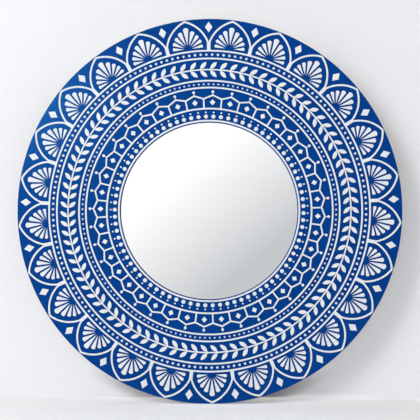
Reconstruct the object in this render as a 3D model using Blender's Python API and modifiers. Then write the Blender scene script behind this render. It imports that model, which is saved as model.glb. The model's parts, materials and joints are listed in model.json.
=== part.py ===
"""Mandala wall mirror: a round blue board with raised white fretwork round a plain mirror.

The pieces are drawn flat, as seen from the front: x to the right, y up and z towards the viewer.
One empty stands the drawing up, so that the front faces -Y and the wall is the plane y = 0.
Angles on the face run clockwise from the top.
"""
import math

import bmesh
import bpy
from mathutils import Matrix

MM = 0.001
FULL_TURN = 2.0 * math.pi

# Clearances
SEAT_GAP = 0.3 * MM            # between two pieces that are seated on each other
GLASS_PLAY = 1.0 * MM          # round the glass in the board
SHANK_PLAY = 0.3 * MM          # round a screw's shank

# Ornament heights and lines
RELIEF = 1.0 * MM              # thickness of the white fretwork
LINE_WIDTH = 2.6 * MM          # white line rings
ARCH_WIDTH = 2.8 * MM          # line of a petal's arch
PETAL_WALL = 5.5 * MM          # wall shared by two petals
PENTAGON_LINE = 2.4 * MM       # walls and roofs of the pentagons
STEM_WIDTH = 2.1 * MM          # stem of the vine

# Bands of the face, from the mirror outwards, line centre to line centre
OPENING_RADIUS = 138.0 * MM
OPENING_MARGIN = 1.3 * MM      # blue edge between the opening and the first line
BEAD_BAND = 18.9 * MM
PENTAGON_BAND = 32.8 * MM
INNER_DOT_BAND = 10.8 * MM
VINE_INNER_BAND = 17.3 * MM
VINE_OUTER_BAND = 17.4 * MM
OUTER_DOT_BAND = 12.2 * MM
PETAL_RISE = 47.4 * MM
RIM_MARGIN = 1.11 * MM         # from an arch's tip to the rim

# Petals, fans and rim diamonds
PETALS = 25
PETAL_PHASE = math.radians(6.7)
ARCH_SPRING = 12.3 * MM        # height at which an arch would be as wide as its petal
FAN_SIDE_COUNT = 4             # strokes on each side of a fan's middle one
FAN_SPREAD = math.radians(83.0)
FAN_FOCUS_RISE = 3.9 * MM      # above the base ring's centre line
FAN_HUB = 6.6 * MM
FAN_GAP = 3.1 * MM
FAN_TIP_MARGIN = 8.4 * MM      # from the middle stroke's end to the arch
FAN_SIDE_MARGIN = 6.8 * MM     # from the lowest stroke's end to the wall
DIAMOND_WIDTH = 11.6 * MM
DIAMOND_HEIGHT = 16.6 * MM
DIAMOND_MARGIN = 4.7 * MM      # from a diamond's outer corner to the rim

# Vine
LEAF_PAIRS = 91
VINE_PHASE = math.radians(1.65)
LEAF_LENGTH = 14.7 * MM
LEAF_WIDTH = 5.8 * MM
LEAF_NECK = 1.2 * MM
LEAF_LEAN = math.radians(43.5)

# Pentagons
PENTAGONS = 40
PENTAGON_PHASE = math.radians(2.05)
PENTAGON_WALL_RISE = 15.4 * MM
PENTAGON_ROOF_RISE = 5.6 * MM
FINIAL_RISE = 5.4 * MM         # from a roof's ridge to the middle of its finial
FINIAL_RADIUS = 2.2 * MM
FINIAL_NECK = 1.1 * MM

# Setting-out by hand: waves round the face by which a row strays, each with its count, size and peak
PETAL_STRAY = ((1, math.radians(0.65), math.radians(43.0)), (2, math.radians(0.15), math.radians(53.0)))
VINE_STRAY = ((1, math.radians(1.19), math.radians(203.0)), (2, math.radians(0.78), math.radians(50.0)))
PENTAGON_STRAY = ((1, math.radians(0.92), math.radians(109.0)), (2, math.radians(0.54), math.radians(40.0)))

# Board, glass and back panel
FACING_THICKNESS = 3.0 * MM
GLASS_THICKNESS = 4.0 * MM
GLASS_LAP = 8.0 * MM           # glass behind the facing
BACKING_THICKNESS = 8.0 * MM
EDGE_CHAMFER = 1.5 * MM        # back edge of the board

# Turn buttons
BUTTONS = 6
BUTTON_PHASE = math.radians(30.0)
BUTTON_SETBACK = 15.0 * MM     # from the board's inner edge to the pivot
BUTTON_REACH = 26.0 * MM       # from the pivot to the tip
BUTTON_WIDTH = 12.0 * MM
BUTTON_THICKNESS = 1.5 * MM

# Hangers
HANGER_SPREAD = 340.0 * MM     # from one hanger to the other
HANGER_HEIGHT = 130.0 * MM     # of the ring's bar above the mirror's middle
STRAP_WIDTH = 12.0 * MM
STRAP_THICKNESS = 1.2 * MM
STRAP_END = 6.0 * MM           # strap past its last screw
STRAP_CURL = math.radians(290.0)
WIRE_RADIUS = 1.25 * MM
BAR_PLAY = 0.3 * MM            # round the ring's bar in its loop
RING_SIDE_PLAY = 1.75 * MM     # between the strap's edge and the ring's wire
RING_CORNER = 2.5 * MM
RING_STRAIGHT = 6.0 * MM       # from the bar to the round end's middle
RING_SCREW_PLAY = 2.2 * MM     # between a screw's head and the ring's wire

# Screws
SHANK_RADIUS = 1.75 * MM
SHANK_DEPTH = 9.0 * MM         # in the board
HEAD_RADIUS = 3.25 * MM
HEAD_HEIGHT = 1.8 * MM
HEAD_CROWN = 0.7 * MM          # rounded part of the head

# Bumpers
BUMPERS = 4
BUMPER_PHASE = math.radians(45.0)
BUMPER_RADIUS = 6.0 * MM
BUMPER_TAPER = 1.0 * MM
BUMPER_HEIGHT = 7.0 * MM
BUMPER_INSET = 22.0 * MM       # from the rim to a bumper's middle

# Facets
RIM_STEPS = 64
LINE_STEPS = 44
ARCH_STEPS = 3
ROUND_STEPS = 4                # half round end of a button
CURL_STEPS = 7
CORNER_STEPS = 3
RING_STEPS = 8
SCREW_STEPS = 8
BUMPER_STEPS = 12
WELD = 0.001 * MM
FLAT = math.radians(0.01)
ROUND = math.radians(50.0)

# Radii of the face's lines
MIRROR_LINE_RADIUS = OPENING_RADIUS + OPENING_MARGIN + LINE_WIDTH / 2
PENTAGON_RADIUS = MIRROR_LINE_RADIUS + BEAD_BAND
DOT_LINE_B_RADIUS = PENTAGON_RADIUS + PENTAGON_BAND
DOT_LINE_A_RADIUS = DOT_LINE_B_RADIUS + INNER_DOT_BAND
VINE_RADIUS = DOT_LINE_A_RADIUS + VINE_INNER_BAND
OUTER_LINE_RADIUS = VINE_RADIUS + VINE_OUTER_BAND
PETAL_RADIUS = OUTER_LINE_RADIUS + OUTER_DOT_BAND

# Heights above the wall
BACK_HEIGHT = BUMPER_HEIGHT + SEAT_GAP
BACKING_TOP = BACK_HEIGHT + BACKING_THICKNESS
GLASS_BOTTOM = BACKING_TOP + SEAT_GAP
GLASS_TOP = GLASS_BOTTOM + GLASS_THICKNESS
FACING_BOTTOM = GLASS_TOP + SEAT_GAP
FACING_TOP = FACING_BOTTOM + FACING_THICKNESS
FRET_BOTTOM = FACING_TOP + SEAT_GAP
FRET_TOP = FRET_BOTTOM + RELIEF

# Heights above the board's back, towards the wall
BUTTON_TOP = SEAT_GAP + BUTTON_THICKNESS
STRAP_TOP = SEAT_GAP + STRAP_THICKNESS
BAR_HEIGHT = STRAP_TOP + BAR_PLAY + WIRE_RADIUS

# Glass, its seat in the board and the pivots
GLASS_RADIUS = OPENING_RADIUS + GLASS_LAP
SEAT_RADIUS = GLASS_RADIUS + GLASS_PLAY
BUTTON_RADIUS = SEAT_RADIUS + BUTTON_SETBACK
RING_HALF_WIDTH = STRAP_WIDTH / 2 + RING_SIDE_PLAY + WIRE_RADIUS
RING_DROP = RING_STRAIGHT + RING_HALF_WIDTH
SCREW_TO_WIRE = WIRE_RADIUS + RING_SCREW_PLAY + HEAD_RADIUS
STRAP_SCREWS = (SCREW_TO_WIRE - RING_DROP, -SCREW_TO_WIRE - RING_DROP)


def new_collection(name):
    collection = bpy.data.collections.new(name)
    bpy.context.scene.collection.children.link(collection)
    return collection


def new_material(name, color, roughness, metallic=0.0):
    material = bpy.data.materials.new(name)
    material.use_nodes = True
    shader = material.node_tree.nodes["Principled BSDF"]
    shader.inputs["Base Color"].default_value = (*color, 1.0)
    shader.inputs["Roughness"].default_value = roughness
    shader.inputs["Metallic"].default_value = metallic
    material.diffuse_color = (*color, 1.0)
    return material


def new_object(name, data, parent, material=None, collection=None):
    thing = bpy.data.objects.new(name, data)
    (collection or PARTS).objects.link(thing)
    thing.parent = parent
    if material:
        data.materials.append(material)
    return thing


# Outlines

def on_face(radius, angle, aside=0.0):
    """Point at a radius along the ray at an angle, moved aside clockwise."""
    x = radius * math.sin(angle) + aside * math.cos(angle)
    y = radius * math.cos(angle) - aside * math.sin(angle)
    return (x, y)


def turned_to(points, angle):
    """A motif's points, u across it and v outwards, turned to its place on the face."""
    return [on_face(v, angle, u) for u, v in points]


def circle(radius, steps):
    angles = [FULL_TURN * step / steps for step in range(steps)]
    return [(radius * math.cos(angle), radius * math.sin(angle)) for angle in angles]


def arc(middle, radius, start, end, steps):
    """Points from the start angle to the end angle, counted from +x."""
    angles = [start + (end - start) * step / steps for step in range(steps + 1)]
    return [(middle[0] + radius * math.cos(a), middle[1] + radius * math.sin(a)) for a in angles]


def other_side(points):
    """The same points on the other side of a motif's middle line."""
    return [(-u, v) for u, v in points]


def crossing(point_a, slope_a, point_b, slope_b):
    """Where two lines meet, each given by a point and a direction."""
    across = slope_a[0] * slope_b[1] - slope_a[1] * slope_b[0]
    du = point_b[0] - point_a[0]
    dv = point_b[1] - point_a[1]
    along = (du * slope_b[1] - dv * slope_b[0]) / across
    return (point_a[0] + along * slope_a[0], point_a[1] + along * slope_a[1])


def spaced(count, phase):
    return [phase + FULL_TURN * k / count for k in range(count)]


def strayed_angle(angle, stray):
    return angle + sum(size * math.cos(waves * (angle - peak)) for waves, size, peak in stray)


def strayed(loops, stray):
    """A row's outlines with the stray of its setting-out."""
    return [
        [on_face(math.hypot(x, y), strayed_angle(math.atan2(x, y), stray)) for x, y in loop]
        for loop in loops]


# Solids

def as_mesh(source):
    """Turns a curve or a modified object into a welded mesh object with the same name and place."""
    bpy.context.view_layer.update()
    graph = bpy.context.evaluated_depsgraph_get()
    mesh = bpy.data.meshes.new_from_object(source.evaluated_get(graph))
    shape = bmesh.new()
    shape.from_mesh(mesh)
    bmesh.ops.remove_doubles(shape, verts=shape.verts, dist=WELD)
    bmesh.ops.dissolve_limit(shape, verts=shape.verts, edges=shape.edges, angle_limit=FLAT)
    bmesh.ops.recalc_face_normals(shape, faces=shape.faces)
    shape.to_mesh(mesh)
    shape.free()
    name = source.name
    solid = bpy.data.objects.new(name, mesh)
    source.users_collection[0].objects.link(solid)
    solid.parent = source.parent
    solid.matrix_basis = source.matrix_basis
    bpy.data.objects.remove(source, do_unlink=True)
    solid.name = name
    mesh.name = name
    return solid


def soften(piece):
    """Shades a round piece smooth and keeps its sharp edges."""
    piece.data.shade_smooth()
    piece.data.set_sharp_from_angle(angle=ROUND)


def flat_piece(name, loops, bottom, top, parent, material, collection=None):
    """A flat outline with its holes, as thick as from bottom to top."""
    curve = bpy.data.curves.new(name, "CURVE")
    curve.dimensions = "2D"
    curve.fill_mode = "BOTH"
    curve.extrude = (top - bottom) / 2
    for loop in loops:
        spline = curve.splines.new("POLY")
        spline.points.add(len(loop) - 1)
        spline.use_cyclic_u = True
        for point, (x, y) in zip(spline.points, loop):
            point.co = (x, y, 0.0, 1.0)
    piece = new_object(name, curve, parent, material, collection)
    piece.location.z = (bottom + top) / 2
    return as_mesh(piece)


def line_ring(name, radius, parent, material):
    loops = [circle(radius + LINE_WIDTH / 2, LINE_STEPS), circle(radius - LINE_WIDTH / 2, LINE_STEPS)]
    return flat_piece(name, loops, FRET_BOTTOM, FRET_TOP, parent, material)


def turned_piece(name, profile, steps, parent, material, closed=False):
    """A profile of (radius, height) turned round the z axis. Its outer side runs from top to bottom."""
    mesh = bpy.data.meshes.new(name)
    edges = [(i, i + 1) for i in range(len(profile) - 1)]
    if closed:
        edges.append((len(profile) - 1, 0))
    mesh.from_pydata([(radius, 0.0, height) for radius, height in profile], edges, [])
    piece = new_object(name, mesh, parent, material)
    screw = piece.modifiers.new("turn", "SCREW")
    screw.steps = steps
    screw.render_steps = steps
    screw.use_merge_vertices = True
    screw.merge_threshold = WELD
    return as_mesh(piece)


def disc(name, radius, bottom, top, parent, material):
    profile = [(0.0, top), (radius, top), (radius, bottom), (0.0, bottom)]
    return turned_piece(name, profile, LINE_STEPS, parent, material)


def drills(name, radius, spots, bottom, top, parent):
    """One cutter with a round drill, from bottom to top, at each spot."""
    mesh = bpy.data.meshes.new(name)
    shape = bmesh.new()
    for x, y in spots:
        place = Matrix.Translation((x, y, (bottom + top) / 2))
        bmesh.ops.create_cone(
            shape, cap_ends=True, segments=SCREW_STEPS, radius1=radius, radius2=radius,
            depth=top - bottom, matrix=place)
    shape.to_mesh(mesh)
    shape.free()
    return new_object(name, mesh, parent, collection=CUTTERS)


def combine(piece, other, operation):
    boolean = piece.modifiers.new(other.name, "BOOLEAN")
    boolean.operation = operation
    boolean.solver = "EXACT"
    boolean.material_mode = "TRANSFER"
    boolean.object = other
    other.hide_render = True
    other.display_type = "WIRE"


# Petals and their fans

class Petal:
    """One pointed arch about its middle line: u across it, v outwards from the mirror's middle."""

    half = math.pi / PETALS
    across = (math.cos(half), -math.sin(half))
    along = (math.sin(half), math.cos(half))

    def __init__(self):
        reach = (PETAL_RADIUS + ARCH_SPRING) * math.tan(self.half)
        self.bend = (reach ** 2 + PETAL_RISE ** 2) / (2 * reach)
        self.middle = (reach - self.bend, PETAL_RADIUS)
        self.focus = PETAL_RADIUS + FAN_FOCUS_RISE

    def side(self, radius, inside):
        """Arc of one side, from the line a distance inside the petal's edge up to the tip."""
        offset = self.across[0] * self.middle[0] + self.across[1] * self.middle[1]
        foot = math.acos((-inside - offset) / radius) - self.half
        tip = math.acos(-self.middle[0] / radius)
        return arc(self.middle, radius, foot, tip, ARCH_STEPS)

    def outer_side(self):
        return self.side(self.bend + ARCH_WIDTH / 2, 0.0)

    def inner_side(self):
        return self.side(self.bend - ARCH_WIDTH / 2, PETAL_WALL / 2)

    def wall_foot(self):
        base = PETAL_RADIUS + LINE_WIDTH / 2
        inside = PETAL_WALL / 2
        rise = math.sqrt(base ** 2 - inside ** 2)
        u = self.along[0] * rise - self.across[0] * inside
        v = self.along[1] * rise - self.across[1] * inside
        return (u, v)

    def room(self, angle):
        """From the fan's focus to the inside of the arch or of the wall, along a stroke."""
        radius = self.bend - ARCH_WIDTH / 2
        du = -self.middle[0]
        dv = self.focus - self.middle[1]
        along = du * math.sin(angle) + dv * math.cos(angle)
        to_arch = math.sqrt(along ** 2 - du ** 2 - dv ** 2 + radius ** 2) - along
        closing = self.across[0] * math.sin(angle) + self.across[1] * math.cos(angle)
        if closing <= 0.0:
            return to_arch
        to_wall = (-PETAL_WALL / 2 - self.across[1] * self.focus) / closing
        return min(to_arch, to_wall)


PETAL = Petal()
RIM_RADIUS = PETAL.outer_side()[-1][1] + RIM_MARGIN
DIAMOND_RADIUS = RIM_RADIUS - DIAMOND_MARGIN - DIAMOND_HEIGHT / 2


def petal_fret_loops():
    outer = PETAL.outer_side()
    rim = other_side(outer) + outer[-2:0:-1]
    inner = PETAL.inner_side()
    foot = PETAL.wall_foot()
    sill = (0.0, math.hypot(*foot))
    window = other_side([foot] + inner) + inner[-2::-1] + [foot, sill]
    angles = spaced(PETALS, PETAL_PHASE)
    outside = [point for angle in angles for point in turned_to(rim, angle)]
    windows = [turned_to(window, angle) for angle in angles]
    return [outside, circle(PETAL_RADIUS - LINE_WIDTH / 2, LINE_STEPS)] + windows


def fan_stroke(place):
    """One blunt stroke of a fan, from its hub out to its end. The middle stroke has place 0."""
    step = FAN_SPREAD / FAN_SIDE_COUNT
    share = abs(place) / FAN_SIDE_COUNT
    margin = FAN_TIP_MARGIN * (1.0 - share) + FAN_SIDE_MARGIN * share
    end = PETAL.room(step * abs(place)) - margin
    half_width = end * math.tan(step / 2) - FAN_GAP / 2
    outline = [(0.0, FAN_HUB), (half_width, end), (-half_width, end)]
    return [(u, PETAL.focus + v) for u, v in turned_to(outline, step * place)]


def fan_loops():
    strokes = [fan_stroke(place) for place in range(-FAN_SIDE_COUNT, FAN_SIDE_COUNT + 1)]
    return [turned_to(stroke, angle) for angle in spaced(PETALS, PETAL_PHASE) for stroke in strokes]


# Vine and pentagons

def leaf(radius, angle, outward):
    """A lens-shaped leaf on the stem's edge, leaning clockwise. outward is 1 or -1."""
    ahead = (math.sin(LEAF_LEAN), outward * math.cos(LEAF_LEAN))
    aside = (math.cos(LEAF_LEAN) * LEAF_WIDTH / 2, -outward * math.sin(LEAF_LEAN) * LEAF_WIDTH / 2)
    middle = (ahead[0] * LEAF_LENGTH / 2, radius + ahead[1] * LEAF_LENGTH / 2)
    outline = [
        (-LEAF_NECK / 2, radius),
        (middle[0] - aside[0], middle[1] - aside[1]),
        (ahead[0] * LEAF_LENGTH, radius + ahead[1] * LEAF_LENGTH),
        (middle[0] + aside[0], middle[1] + aside[1]),
        (LEAF_NECK / 2, radius),
    ]
    return turned_to(outline, angle)


def vine_loops():
    loops = []
    for outward in (1, -1):
        edge = VINE_RADIUS + outward * STEM_WIDTH / 2
        leaves = [leaf(edge, angle, outward) for angle in spaced(LEAF_PAIRS, VINE_PHASE)]
        loops.append([point for outline in leaves for point in outline])
    return loops


def pentagon_fret_loops():
    half = math.pi / PENTAGONS
    along = (math.sin(half), math.cos(half))
    upright = (0.0, 1.0)
    middle = (0.0, 0.0)
    reach = PENTAGON_LINE / 2
    eaves = PENTAGON_RADIUS + PENTAGON_WALL_RISE
    ridge = eaves + PENTAGON_ROOF_RISE
    corner = (eaves * along[0], eaves * along[1])
    pitch = math.atan2(ridge - corner[1], corner[0])
    roof = (-math.cos(pitch), math.sin(pitch))
    lift = (math.sin(pitch) * reach, math.cos(pitch) * reach)
    upper = (corner[0] + lift[0], corner[1] + lift[1])
    lower = (corner[0] - lift[0], corner[1] - lift[1])
    wall = (-math.cos(half) * reach, math.sin(half) * reach)

    finial = ridge + FINIAL_RISE
    roof_side = [
        crossing(upper, roof, middle, along),
        crossing(upper, roof, (FINIAL_NECK / 2, 0.0), upright),
        (FINIAL_RADIUS, finial),
        (0.0, finial + FINIAL_RADIUS),
    ]
    cell = other_side(roof_side) + roof_side[-2:0:-1]
    base = PENTAGON_RADIUS + LINE_WIDTH / 2
    rise = math.sqrt(base ** 2 - reach ** 2)
    foot = (wall[0] + along[0] * rise, wall[1] + along[1] * rise)
    eave = crossing(lower, roof, wall, along)
    window = other_side([foot, eave]) + [crossing(lower, roof, middle, upright), eave, foot]

    angles = spaced(PENTAGONS, PENTAGON_PHASE)
    outside = [point for angle in angles for point in turned_to(cell, angle)]
    windows = [turned_to(window, angle) for angle in angles]
    return [outside, circle(PENTAGON_RADIUS - LINE_WIDTH / 2, LINE_STEPS)] + windows


# Front of the mirror

def button_spots():
    """Pivots of the turn buttons on the back: the place, and the angle that turns the tip inwards."""
    return [(on_face(BUTTON_RADIUS, -angle), angle) for angle in spaced(BUTTONS, BUTTON_PHASE)]


def hanger_spots():
    """The two hangers on the back, by the side on which they lie from the front."""
    half = HANGER_SPREAD / 2
    return {"left": (half, HANGER_HEIGHT), "right": (-half, HANGER_HEIGHT)}


def screw_spots():
    spots = [spot for spot, _ in button_spots()]
    for x, y in hanger_spots().values():
        spots += [(x, y + drop) for drop in STRAP_SCREWS]
    return spots


def make_board(upright, rear):
    profile = [
        (SEAT_RADIUS, GLASS_TOP),
        (RIM_RADIUS, GLASS_TOP),
        (RIM_RADIUS, BACK_HEIGHT + EDGE_CHAMFER),
        (RIM_RADIUS - EDGE_CHAMFER, BACK_HEIGHT),
        (SEAT_RADIUS, BACK_HEIGHT),
    ]
    board = turned_piece("frame_board", profile, RIM_STEPS, upright, BOARD, closed=True)
    drill = SHANK_RADIUS + SHANK_PLAY
    pilots = drills("screw_pilots", drill, screw_spots(), -SHANK_DEPTH - SHANK_PLAY, BACK_HEIGHT, rear)
    combine(board, pilots, "DIFFERENCE")


def make_facing(upright):
    loops = [circle(RIM_RADIUS, RIM_STEPS), circle(OPENING_RADIUS, RIM_STEPS)]
    facing = flat_piece("blue_facing", loops, FACING_BOTTOM, FACING_TOP, upright, LACQUER)
    root = (FACING_BOTTOM + FACING_TOP) / 2
    strokes = strayed(fan_loops(), PETAL_STRAY)
    fans = flat_piece("fan_strokes", strokes, root, FRET_TOP, upright, WHITE, CUTTERS)
    combine(facing, fans, "UNION")


def make_fretwork(upright):
    petals = strayed(petal_fret_loops(), PETAL_STRAY)
    flat_piece("petal_fret", petals, FRET_BOTTOM, FRET_TOP, upright, WHITE)
    line_ring("outer_dot_line", OUTER_LINE_RADIUS, upright, WHITE)
    vine = strayed(vine_loops(), VINE_STRAY)
    flat_piece("leaf_vine", vine, FRET_BOTTOM, FRET_TOP, upright, WHITE)
    line_ring("inner_dot_line_a", DOT_LINE_A_RADIUS, upright, WHITE)
    line_ring("inner_dot_line_b", DOT_LINE_B_RADIUS, upright, WHITE)
    pentagons = strayed(pentagon_fret_loops(), PENTAGON_STRAY)
    flat_piece("pentagon_fret", pentagons, FRET_BOTTOM, FRET_TOP, upright, WHITE)
    line_ring("mirror_line", MIRROR_LINE_RADIUS, upright, WHITE)


def make_rim_diamonds(upright):
    half_width = DIAMOND_WIDTH / 2
    half_height = DIAMOND_HEIGHT / 2
    outline = [(half_width, 0.0), (0.0, half_height), (-half_width, 0.0), (0.0, -half_height)]
    between = PETAL_PHASE - math.pi / PETALS
    shared = None
    for number, angle in enumerate(spaced(PETALS, between), 1):
        name = f"rim_diamond_{number:02d}"
        if shared is None:
            diamond = flat_piece(name, [outline], FRET_BOTTOM, FRET_TOP, upright, WHITE)
            shared = diamond.data
        else:
            diamond = new_object(name, shared, upright)
        place = strayed_angle(angle, PETAL_STRAY)
        diamond.location = (*on_face(DIAMOND_RADIUS, place), (FRET_BOTTOM + FRET_TOP) / 2)
        diamond.rotation_euler.z = -place


# Back of the mirror

def make_screw(name, spot, seat, parent):
    under = seat + SEAT_GAP
    top = under + HEAD_HEIGHT
    profile = [
        (0.0, top),
        (HEAD_RADIUS - HEAD_CROWN, top),
        (HEAD_RADIUS, top - HEAD_CROWN),
        (HEAD_RADIUS, under),
        (SHANK_RADIUS, under),
        (SHANK_RADIUS, SHANK_RADIUS - SHANK_DEPTH),
        (0.0, -SHANK_DEPTH),
    ]
    screw = turned_piece(name, profile, SCREW_STEPS, parent, STEEL)
    screw.location = (*spot, 0.0)
    soften(screw)


def make_turn_buttons(rear):
    end = BUTTON_WIDTH / 2
    tip = end - BUTTON_REACH
    outline = arc((0.0, 0.0), end, 0.0, math.pi, ROUND_STEPS)
    outline += arc((0.0, tip), end, math.pi, FULL_TURN, ROUND_STEPS)
    bore = circle(SHANK_RADIUS + SHANK_PLAY, SCREW_STEPS)
    for number, (spot, angle) in enumerate(button_spots(), 1):
        name = f"turn_button_{number}"
        button = flat_piece(name, [outline, bore], SEAT_GAP, BUTTON_TOP, rear, STEEL)
        button.location.xy = spot
        button.rotation_euler.z = angle
        make_screw(f"turn_button_screw_{number}", spot, BUTTON_TOP, rear)


def strap_outline():
    """Side of a strap: along it from its end to the bar, and up from the board."""
    bar = (0.0, BAR_HEIGHT)
    inner = WIRE_RADIUS + BAR_PLAY
    start = -math.pi / 2
    outside = arc(bar, inner + STRAP_THICKNESS, start, start + STRAP_CURL, CURL_STEPS)
    inside = arc(bar, inner, start + STRAP_CURL, start, CURL_STEPS)
    end = STRAP_SCREWS[-1] - STRAP_END
    return [(end, SEAT_GAP)] + outside + inside + [(end, STRAP_TOP)]


def ring_points():
    corner = RING_HALF_WIDTH - RING_CORNER
    right = arc((corner, -RING_CORNER), RING_CORNER, math.pi / 2, 0.0, CORNER_STEPS)
    bottom = arc((0.0, -RING_STRAIGHT), RING_HALF_WIDTH, 0.0, -math.pi, RING_STEPS)
    return right + bottom + other_side(right)[::-1]


def make_ring(name, parent):
    """A closed D of round wire that swings about its straight bar."""
    points = ring_points()
    curve = bpy.data.curves.new(name, "CURVE")
    curve.dimensions = "3D"
    curve.bevel_depth = WIRE_RADIUS
    curve.bevel_resolution = 2
    spline = curve.splines.new("POLY")
    spline.points.add(len(points) - 1)
    spline.use_cyclic_u = True
    for point, (x, y) in zip(spline.points, points):
        point.co = (x, y, 0.0, 1.0)
    return as_mesh(new_object(name, curve, parent, STEEL))


def make_hangers(rear):
    half = STRAP_WIDTH / 2
    stand_up = Matrix(((0, 0, 1, 0), (1, 0, 0, 0), (0, 1, 0, 0), (0, 0, 0, 1)))
    for side, (x, y) in hanger_spots().items():
        strap = flat_piece(f"hanger_strap_{side}", [strap_outline()], -half, half, rear, STEEL)
        strap.data.transform(stand_up)
        strap.location = (x, y, 0.0)
        spots = [(x, y + drop) for drop in STRAP_SCREWS]
        bore = SHANK_RADIUS + SHANK_PLAY
        combine(strap, drills(f"strap_bores_{side}", bore, spots, 0.0, BAR_HEIGHT, rear), "DIFFERENCE")
        ring = make_ring(f"hanger_ring_{side}", rear)
        ring.location = (x, y, BAR_HEIGHT)
        soften(ring)
        for number, spot in enumerate(spots, 1):
            make_screw(f"hanger_screw_{side}_{number}", spot, STRAP_TOP, rear)


def make_bumpers(rear):
    top = SEAT_GAP + BUMPER_HEIGHT
    profile = [
        (0.0, top),
        (BUMPER_RADIUS - BUMPER_TAPER, top),
        (BUMPER_RADIUS, SEAT_GAP),
        (0.0, SEAT_GAP),
    ]
    for number, angle in enumerate(spaced(BUMPERS, BUMPER_PHASE), 1):
        bumper = turned_piece(f"wall_bumper_{number}", profile, BUMPER_STEPS, rear, RUBBER)
        bumper.location = (*on_face(RIM_RADIUS - BUMPER_INSET, -angle), 0.0)
        soften(bumper)


for thing in list(bpy.data.objects):
    bpy.data.objects.remove(thing, do_unlink=True)
PARTS = new_collection("mandala_wall_mirror")
CUTTERS = new_collection("cutters")

LACQUER = new_material("blue_lacquer", (0.002, 0.056, 0.27), 0.35)
WHITE = new_material("white_fretwork", (0.76, 0.79, 0.82), 0.5)
BOARD = new_material("fibre_board", (0.36, 0.24, 0.14), 0.8)
GLASS = new_material("silvered_glass", (0.9, 0.92, 0.92), 0.03, 1.0)
HARDBOARD = new_material("back_panel", (0.2, 0.12, 0.07), 0.75)
STEEL = new_material("zinc_plated_steel", (0.6, 0.6, 0.58), 0.35, 1.0)
RUBBER = new_material("black_rubber", (0.02, 0.02, 0.02), 0.8)

STANDING = new_object("mirror_axis", None, None)
STANDING.rotation_euler.x = math.pi / 2
REAR = new_object("rear_side", None, STANDING)
REAR.location.z = BACK_HEIGHT
REAR.rotation_euler.y = math.pi

make_board(STANDING, REAR)
make_facing(STANDING)
disc("mirror_glass", GLASS_RADIUS, GLASS_BOTTOM, GLASS_TOP, STANDING, GLASS)
disc("backing_panel", GLASS_RADIUS, BACK_HEIGHT, BACKING_TOP, STANDING, HARDBOARD)
make_fretwork(STANDING)
make_rim_diamonds(STANDING)
make_turn_buttons(REAR)
make_hangers(REAR)
make_bumpers(REAR)
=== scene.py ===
"""Looks of the mandala wall mirror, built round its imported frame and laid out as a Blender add-on."""
import json
import math

import bmesh
import bpy
from bmesh.types import BMEdge, BMVert
from bpy.props import FloatProperty, FloatVectorProperty, IntProperty, PointerProperty
from mathutils import Matrix, Vector


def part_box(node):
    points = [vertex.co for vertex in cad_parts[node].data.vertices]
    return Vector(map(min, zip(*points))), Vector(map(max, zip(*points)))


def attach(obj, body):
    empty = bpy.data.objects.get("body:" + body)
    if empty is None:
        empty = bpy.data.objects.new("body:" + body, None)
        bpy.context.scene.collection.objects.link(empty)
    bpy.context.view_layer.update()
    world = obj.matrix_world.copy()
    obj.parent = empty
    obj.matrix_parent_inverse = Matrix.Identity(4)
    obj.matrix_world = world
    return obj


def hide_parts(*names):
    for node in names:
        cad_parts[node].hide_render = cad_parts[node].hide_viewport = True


bl_info = {
    "name": "Mandala Wall Mirror",
    "version": (1, 0, 0),
    "blender": (4, 5, 0),
    "location": "View3D > Sidebar > Mirror",
    "description": "Builds a round wall mirror with a raised white mandala on blue lacquer",
    "category": "Object",
}

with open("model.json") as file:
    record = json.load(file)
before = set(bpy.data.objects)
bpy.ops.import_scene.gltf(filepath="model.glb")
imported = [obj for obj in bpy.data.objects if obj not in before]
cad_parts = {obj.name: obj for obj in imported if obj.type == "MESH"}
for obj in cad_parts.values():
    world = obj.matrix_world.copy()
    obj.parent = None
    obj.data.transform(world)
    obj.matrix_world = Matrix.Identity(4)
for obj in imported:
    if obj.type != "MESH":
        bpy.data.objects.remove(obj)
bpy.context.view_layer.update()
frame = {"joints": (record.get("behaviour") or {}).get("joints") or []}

MM = 0.001
FULL_TURN = 2.0 * math.pi
QUARTER = math.pi / 2
STAND_UP = Matrix.Rotation(QUARTER, 4, "X")
CENTRE = (0.0, 0.0)
AXIS = (0.0, 1.0, 0.0)
ORIGIN = (0.0, 0.0, 0.0)

# How near points are joined, the gap between seated CAD pieces, and how far the ornament sinks in
WELD = 0.000002
RING_WELD = 5.0 * WELD
SEAT = 0.3 * MM
SINK = 0.1 * MM

# Steps round a turned piece or an end, and in a radian of a bend
RING_STEPS = 240
LINE_STEPS = 200
DISC_STEPS = 160
BUMPER_STEPS = 32
SCREW_STEPS = 24
CURL_STEPS = 20
END_STEPS = 14
BEAD_STEPS = 14
DROP_STEPS = 8
ARCH_STEPS = 9
CAP_STEPS = 8
LEAF_STEPS = 6
FINIAL_STEPS = 6
BASE_STEPS = 4
SILL_STEPS = 3
STEM_STEPS = 2
CELL_STEPS = 2
WIRE_STEPS = 12
BEND_STEPS = 7

# Share of a normal along the axis below which a face is upright, a side or not flat
UPRIGHT = 0.5
SIDE = 0.8
FLAT = 0.9999
SHARP_EDGE = math.radians(40.0)
SHARP_SHADE = math.radians(38.0)

# Depths of the CAD pieces along Y: the wall is at 0 and the front faces -Y
FRET_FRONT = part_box("petal_fret")[0][1]
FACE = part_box("petal_fret")[1][1] + SEAT
BED = FACE + SINK
RELIEF = BED - FRET_FRONT
BOARD_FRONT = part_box("frame_board")[0][1]
BOARD_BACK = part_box("frame_board")[1][1]
GLASS_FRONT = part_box("mirror_glass")[0][1]
GLASS_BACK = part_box("mirror_glass")[1][1]
PANEL_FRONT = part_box("backing_panel")[0][1]
RIM_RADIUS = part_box("frame_board")[1][0]
GLASS_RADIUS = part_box("mirror_glass")[1][0]


# Settings

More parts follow.
